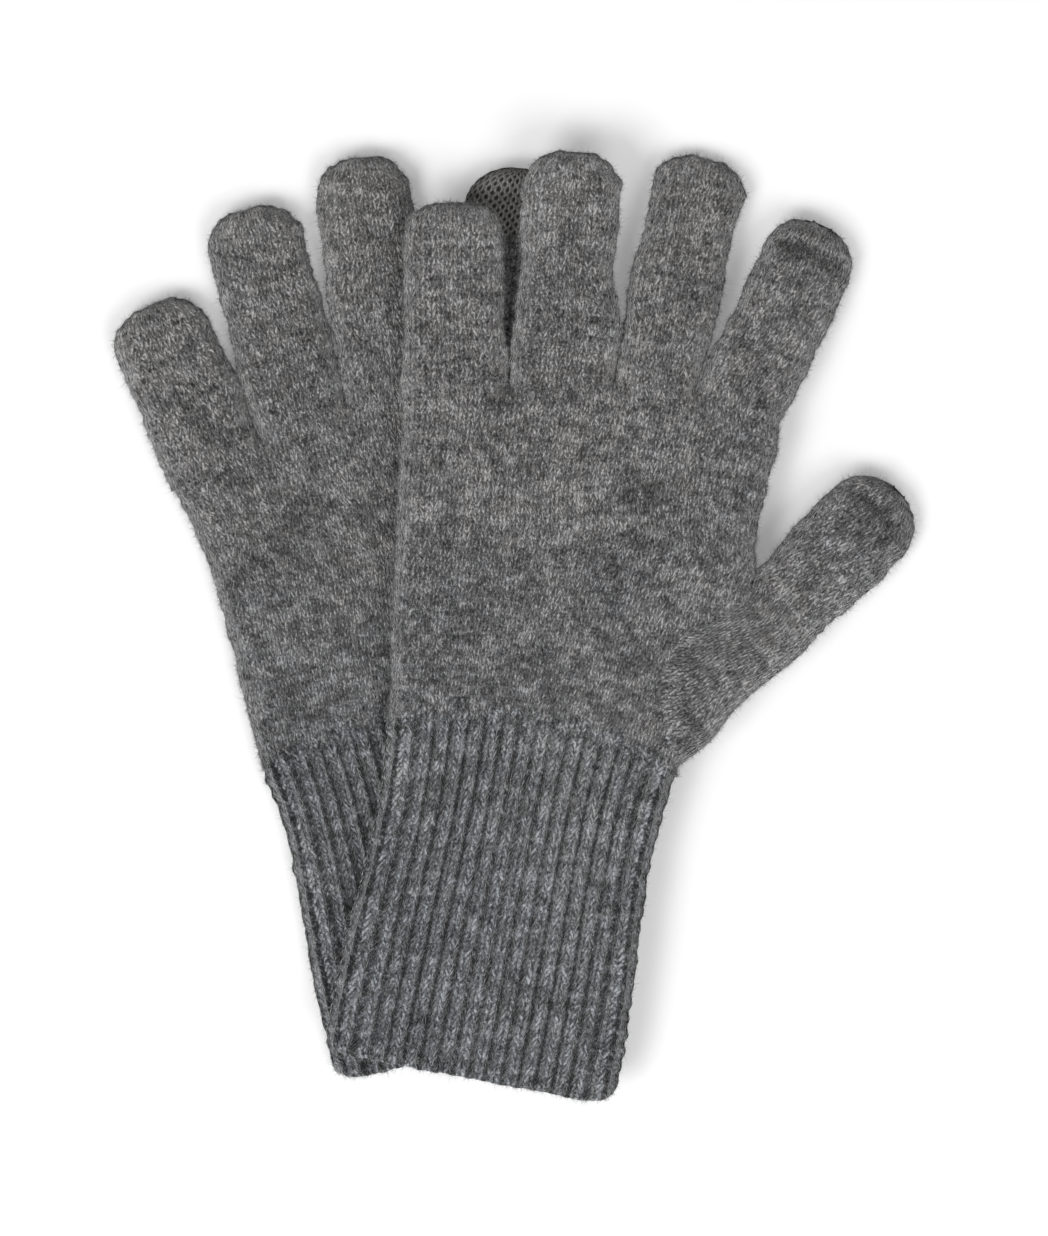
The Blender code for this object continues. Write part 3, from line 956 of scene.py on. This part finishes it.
def set_lines(glove):
    """The lines between the glove's sections and along its folded edges, in hand directions."""
    knuckles, crotches = knuckle_line(glove)
    wrist_left, wrist_right = to_hand(glove, glove["wrist_ends"])
    thumb_left, thumb_right = to_hand(glove, foot_ends(glove["digits"]["thumb"]))
    share = np.linspace(0, 1, 41)
    border = wrist_left + (wrist_right - wrist_left) * share[:, None]
    border[:, 1] += BORDER_BULGE[glove["name"]] * np.sin(math.pi * share**1.25)
    inset = LEFT_INSET[glove["name"]] * np.sin(math.pi * np.linspace(0, 1, 31) ** 1.6)
    fill = np.sin(math.pi * np.clip(np.linspace(0, 1, 21) / WRIST_FILL_SHARE, 0, 1)) ** 2
    fill = fill * WRIST_FILL[glove["name"]]
    glove["border"] = border
    glove["left"] = side_line(glove, wrist_left, knuckles[0], -1, 31, push=inset)
    glove["web"] = side_line(glove, thumb_left, knuckles[-1], 1, 21, gap=1.0 * MM)
    glove["gusset"] = side_line(glove, wrist_right, thumb_right, 1, 21, push=fill)
    glove["knuckles"], glove["crotches"] = knuckles, crotches
    glove["thumb_foot"] = np.array([thumb_left, thumb_right])
    size = (thumb_left[1] - wrist_right[1]) / JOIN_DEPTH
    glove["join"] = thumb_left + smooth_line(JOIN_LINE * size, 25)
    foot = np.concatenate([JOIN_FOOT * size + thumb_left, [wrist_right]])
    glove["join_foot"] = smooth_line(foot, 31)


def hand_rise(glove, place):
    """How far the layers stand off the middle, 0 to 1, from the nearest folded edge or crotch."""
    nearest = distance_to(place, glove["left"])
    for edge in ("web", "gusset"):
        nearest = np.minimum(nearest, distance_to(place, glove[edge]))
    for crotch in glove["crotches"]:
        nearest = np.minimum(nearest, np.linalg.norm(place - crotch, axis=-1))
    return round_over(nearest, EDGE_ROUND)


def lay_hand(glove, place, rise, lower):
    """Hand places and rises to points in the world."""
    place = to_world(glove, place)
    layer = layer_rise(glove, place) * rise
    return stack_layers(place, middle_height(glove, place[..., 0]), layer, lower)


# %% Knit the hand
LAP = 2.5 * MM
END_SHARE = 0.025
END_SINK = 0.10


def knit_hand(glove):
    """The wide plain-knit tube, and the gusset that lies on it."""
    corner, crotch = glove["border"][-1], glove["thumb_foot"][0]
    palm_edge = corner + (crotch - corner) * np.linspace(0, 1, 15)[:, None]
    right = np.concatenate([palm_edge, glove["web"][1:]])
    width = np.linalg.norm(glove["knuckles"][-1] - glove["knuckles"][0])
    length = glove["knuckles"][1:-1, 1].mean() - glove["border"][20, 1]
    wales, courses = stitch_counts(width, length, WALE, COURSE)
    up = np.linspace(-LAP / length, 1.0, courses * POINTS_PER_COURSE + 1)
    shares, ups, lower, on_layer = round_tube(tube_shares(wales), up)
    even, _ = across_layer(on_layer, width / 2, EDGE_ROUND, LAYER_RISE)
    across = even / width + 0.5
    place = patch(glove["border"], glove["knuckles"], glove["left"], right, across, ups.clip(0))
    place[..., 1] += np.minimum(ups, 0.0) * length
    ends = np.clip((ups - 1.0 + END_SHARE) / END_SHARE, 0, 1) + np.clip(-ups * length / LAP, 0, 1)
    rise = hand_rise(glove, place) * (1.0 - END_SINK * ends)
    rise[:, [0, wales * POINTS_PER_WALE, -1]] = 0.0
    points = lay_hand(glove, place, rise, lower)
    chart = np.stack([shares * wales, ups * courses], axis=-1)
    points = relieve(points, chart, PLAIN_RELIEF)
    hand = knit(f"{glove['name']}_hand_knit", points, chart, plain_yarn)
    return [hand, knit_gusset(glove)]


GUSSET_WIDTH = 30.0 * MM
GUSSET_PAST = 12.0 * MM
GUSSET_LIFT = 0.45 * MM
GUSSET_EDGE = 1.6 * MM
GUSSET_SINK = 0.6
GUSSET_FOLD = 0.15 * MM
GUSSET_FADE = 0.2


def knit_gusset(glove):
    """The thumb's gusset, from the join on the palm and back to the foot of the thumb."""
    foot, width = glove["thumb_foot"], GUSSET_WIDTH
    length = np.linalg.norm(glove["join_foot"][0] - foot[0]) + GUSSET_PAST
    wales, courses = stitch_counts(width, length, WALE, COURSE)
    up = np.linspace(0.0, 1.0, courses * POINTS_PER_COURSE + 1)
    shares, ups, lower, on_layer = round_tube(tube_shares(wales), up)
    corner = (EDGE_ROUND + LAYER_RISE) * math.pi / 4
    run = on_layer * (width - EDGE_ROUND + corner)
    turn = np.clip((run - width + EDGE_ROUND) / corner, 0, 1) * math.pi / 2
    across = (np.minimum(run, width - EDGE_ROUND) + EDGE_ROUND * np.sin(turn)) / width
    place = patch(glove["join_foot"], foot, glove["join"][::-1], glove["gusset"], across, ups)
    middle = wales * POINTS_PER_WALE
    rise = hand_rise(glove, place)
    rise[:, middle] = 0.0
    points = lay_hand(glove, place, rise, lower)
    from_join = np.minimum(on_layer, ups) * width / GUSSET_EDGE
    lift = np.clip(from_join, 0, 1) * (1.0 + GUSSET_SINK) - GUSSET_SINK
    lift = GUSSET_LIFT * lift * (1 - np.clip((ups - 1.0 + GUSSET_FADE) / GUSSET_FADE, 0, 1))
    lift[:, middle] = GUSSET_FOLD
    points[..., 2] += np.where(lower, -lift, lift) * (rise > 0)
    chart = np.stack([shares * wales, ups * courses], axis=-1)
    push = (stitch_relief(chart[..., 0], chart[..., 1]) - 0.6) * PLAIN_RELIEF
    points = points + surface_normals(points, closed=False) * push[..., None]
    return knit(f"{glove['name']}_thumb_gusset", points, chart, plain_yarn)


# %% [markdown]
# ## The cuff
# The cuff is knitted in one by one rib: every other column stands up as a ridge, and the columns
# between sink into furrows. The ribs run from the border of the hand to a hem that rolls a little.
# The tube turns in at the hem and runs back up inside, so that the cuff is a real sleeve.

# %% Knit the cuff
RIB_HEIGHT = 1.4 * MM
RIB_START = 5.0 * MM
HEM_FADE = 1.5 * MM
CORNER_LIFT = 2.4 * MM
CORNER_REACH = 12.0 * MM
CORNER_SHARE = 0.12
WAIST_INSET = 2.6 * MM
HEM_ROLL = 0.5 * MM
HEM_ROLL_AT, HEM_ROLL_WIDTH = 1.2 * MM, 1.4 * MM
CUFF_WALL = 1.6 * MM
HEM_TURN = 8
LEG_RELIEF = 0.3 * MM


def knit_cuff(glove):
    """The ribbed sleeve, from the border down to the hem and back up inside."""
    hem = to_hand(glove, glove["hem_ends"])
    border = glove["border"]
    width = np.linalg.norm(hem[1] - hem[0])
    length = np.linalg.norm((hem[0] + hem[1]) / 2 - border[20])
    round_width = width - 2 * CUFF_ROUND + (CUFF_ROUND + LAYER_RISE) * math.pi / 2
    wales = 2 * round(round_width / (2 * RIB_WALE))
    courses = round(length / COURSE)
    down = np.linspace(-LAP / length, 1.0, courses * POINTS_PER_COURSE + 1)
    turn = np.linspace(0.0, 1.0, HEM_TURN + 1)[1:]
    inner = np.linspace(1.0, 0.05, 25)[1:]
    downs = np.concatenate([down, np.full(HEM_TURN, 1.0), inner])
    inward = np.concatenate([np.zeros(len(down)), turn, np.ones(len(inner))])
    shares, ups, lower, on_layer = round_tube(tube_shares(wales), 1.0 - downs)
    inwards = np.broadcast_to(inward[:, None], shares.shape)
    even, rise = across_layer(on_layer, width / 2, CUFF_ROUND, LAYER_RISE)
    shrink = 1.0 - inwards * CUFF_WALL / (width / 2)
    across = even / width * shrink + 0.5
    climb = np.linspace(0.0, 1.0, 25)
    inset = WAIST_INSET * np.sin(math.pi * climb**2.2)
    sides = [hem[i] + (border[-i] - hem[i]) * climb[:, None] for i in (0, 1)]
    sides[0][:, 0] += inset
    sides[1][:, 0] -= inset
    place = patch(hem, border, sides[0], sides[1], across, ups.clip(0, 1))
    below = np.sin(inwards * math.pi) * CUFF_WALL * 0.5
    down_way = (hem.mean(axis=0) - border[20]) / length
    corner = np.clip((np.abs(even) / (width / 2) - 1.0 + CORNER_SHARE) / CORNER_SHARE, 0.0, 1.0) ** 2
    below = below - corner * CORNER_LIFT * np.clip(1 - ups * length / CORNER_REACH, 0.0, 1.0)
    place = place + (below - (ups - 1.0).clip(0) * length)[..., None] * down_way
    place = to_world(glove, place)
    from_hem = ups * length
    roll = HEM_ROLL * np.exp(-((from_hem - HEM_ROLL_AT) / HEM_ROLL_WIDTH) ** 2)
    under_hand = END_SINK * np.clip((ups - 1.0) * length / LAP, 0.0, 1.0)
    layer = (layer_rise(glove, place) * (1 - under_hand) + roll - inwards * CUFF_WALL) * rise
    points = stack_layers(place, middle_height(glove, place[..., 0]), layer, lower)
    chart = np.stack([shares * wales, (ups - 1.0) * courses], axis=-1)
    ridge = rib_relief(chart[..., 0])
    legs = stitch_relief(rib_across(chart[..., 0]), chart[..., 1]) - 0.5
    fade = np.clip((1 - ups) * length / RIB_START, 0.0, 1.0)
    fade = fade * np.clip(from_hem / HEM_FADE, 0.25, 1.0)
    push = (ridge - 0.70) * RIB_HEIGHT * fade + legs * LEG_RELIEF * ridge + uneven(points, 33)
    points = points + surface_normals(points) * (push * (1.0 - inwards))[..., None]
    points[:, -1] = points[:, 0]
    return knit(f"{glove['name']}_cuff_rib", points, chart, rib_yarn)


def rib_across(across):
    """Puts the whole width of a stitch on each ridge, whose middle is at odd numbers."""
    from_ridge = np.mod(across, 2.0) - 1.0
    return np.clip(from_ridge / 1.3 + 0.5, 0.02, 0.98)


# %% Make every section
def triangles(piece):
    """How many triangles a piece has."""
    return sum(len(face.vertices) - 2 for face in piece.data.polygons)


sections = {}
for number, (name, glove) in enumerate(gloves.items()):
    set_webs(glove)
    set_lines(glove)
    sections[f"{name}_hand"] = knit_hand(glove)
    sections[f"{name}_cuff"] = [knit_cuff(glove)]
    for step, digit in enumerate(glove["digits"].values()):
        seed = 100 * (number + 1) + 10 + step
        sections[digit["body"]] = knit_digit(glove, digit, seed)
counts = [triangles(piece) for pieces in sections.values() for piece in pieces]
print("triangles:", sum(counts), "largest:", max(counts))

# %% [markdown]
# ## Loose fibres
# Brushing lifts single fibres off the fabric. They blur the stitches, and against the light floor
# they show as a thin halo. Each is a bent three-sided cone; one is modelled, and copies of it are
# scattered over the fabric, leaning at random.

# %% Two kinds of fibre
SHORT_PER_AREA = 1_600_000.0
LONG_PER_AREA = 140_000.0
COATS = (
    ("fuzz", SHORT_PER_AREA, (0.6 * MM, 1.6 * MM), 0, 500),
    ("hairs", LONG_PER_AREA, (1.2 * MM, 2.6 * MM), 1, 600),
)
FIBRE_THICK = 0.038 * MM
EDGE_FAVOUR = 9.0
LARGEST_STITCH = 4.0 * MM * MM
TILT = (0.3, 1.45)
BEND = 0.4
OFF_FLOOR = 0.05 * MM


def fibre_shape(cuts):
    """One fibre of unit length along +Z, as its points and faces."""
    shape = bmesh.new()
    bmesh.ops.create_cone(shape, cap_ends=True, segments=3, radius1=1.0, radius2=0.0, depth=1.0)
    if cuts:
        long_edges = [e for e in shape.edges if abs(e.verts[0].co.z - e.verts[1].co.z) > 0.5]
        bmesh.ops.subdivide_edges(shape, edges=long_edges, cuts=cuts)
    shape.verts.index_update()
    points = np.array([tuple(v.co) for v in shape.verts]) + np.array([0.0, 0.0, 0.5])
    faces = [[v.index for v in face.verts] for face in shape.faces]
    shape.free()
    return points, faces


def polygon_values(data, name, size):
    """One value, or a row of them, for each face of a mesh."""
    values = np.zeros(len(data.polygons) * size)
    data.polygons.foreach_get(name, values)
    return values.reshape(-1, size) if size > 1 else values


def grow_fibres(piece, name, per_area, lengths, cuts, seed):
    """Scatters fibres over a piece, more of them on its folded edges, as one mesh object."""
    random = np.random.default_rng(seed)
    areas = polygon_values(piece.data, "area", 1)
    centres = polygon_values(piece.data, "center", 3)
    normals = polygon_values(piece.data, "normal", 3)
    weights = np.where(areas > LARGEST_STITCH, 0.0, areas)
    count = int(weights.sum() * per_area)
    weights = weights * (1 + EDGE_FAVOUR * (1 - np.abs(normals[:, 2])))
    chosen = random.choice(len(areas), size=count, p=weights / weights.sum())
    root, out = centres[chosen], normals[chosen]
    lean = random.normal(size=(count, 3))
    lean -= (lean * out).sum(axis=1, keepdims=True) * out
    lean /= np.linalg.norm(lean, axis=1, keepdims=True)
    tilt = random.uniform(*TILT, count)[:, None]
    way = out * np.cos(tilt) + lean * np.sin(tilt)
    side = np.cross(way, out)
    side /= np.maximum(np.linalg.norm(side, axis=1, keepdims=True), 1e-9)
    other = np.cross(way, side)
    bend = random.normal(size=(count, 3)) * BEND
    length = random.uniform(*lengths, count)[:, None]
    template, faces = fibre_shape(cuts)
    points = [
        root + (side * x + other * y) * FIBRE_THICK + way * z * length + bend * length * z * z
        for x, y, z in template
    ]
    points = np.stack(points, axis=1).reshape(-1, 3)
    points[:, 2] = np.maximum(points[:, 2], OFF_FLOOR)
    first = np.arange(count)[:, None] * len(template)
    rows = [row for face in faces for row in (first + np.array(face)).tolist()]
    mesh = bpy.data.meshes.new(name)
    mesh.from_pydata(points.tolist(), [], rows)
    mesh.materials.append(fibre_yarn)
    made = bpy.data.objects.new(name, mesh)
    bpy.context.scene.collection.objects.link(made)
    return made


# %% [markdown]
# ## Joining the hand's pieces to its body
# The hand's pieces ride on its body. A digit's or cuff's pieces keep their place in the world,
# with their transform applied.


def attach(piece, glove_name, body):
    """Lets a hand piece follow its body; any other piece only has its transform applied."""
    hand = f"{glove_name}_hand"
    if body == hand:
        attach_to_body(piece, body)
    else:
        digit = body.split("_")[1]
        joint = joints[f"{glove_name}_{'wrist' if digit == 'cuff' else digit}_fold"]
        axis = np.array(joint["axis"])
        forward = np.array([-axis[1], axis[0], 0.0])
        forward /= np.linalg.norm(forward)
        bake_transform(piece)


fibre_count = 0
for number, (body, pieces) in enumerate(sections.items()):
    glove_name, part = body.split("_")
    for piece in pieces:
        material = piece.data.materials[0].name
        attach(piece, glove_name, body)
        if piece.name.endswith("_knit") or piece.name.endswith("_rib"):
            node = body + "_touch_tip" if "touch" in piece.name else body
            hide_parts(node)
        if material != "touch_yarn":
            for kind, per_area, lengths, cuts, seed in COATS:
                coat = grow_fibres(piece, f"{piece.name}_{kind}", per_area, lengths, cuts, seed + number)
                attach(coat, glove_name, body)
                fibre_count += triangles(coat)
print("fibre triangles:", fibre_count)
meshes = [thing for thing in bpy.data.objects if thing.type == "MESH"]
print("largest piece:", max((triangles(thing), thing.name) for thing in meshes))

# %% Floor material
floor_paint = bpy.data.materials.new("white_floor")
floor_paint.use_nodes = True
floor_shader = floor_paint.node_tree.nodes["Principled BSDF"]
floor_shader.inputs["Base Color"].default_value = (0.58, 0.58, 0.58, 1.0)
floor_shader.inputs["Emission Color"].default_value = (1.0, 1.0, 1.0, 1.0)
floor_shader.inputs["Emission Strength"].default_value = 0.22
floor_shader.inputs["Roughness"].default_value = 1.0
floor_shader.inputs["Specular IOR Level"].default_value = 0.0
floor.data.materials.append(floor_paint)
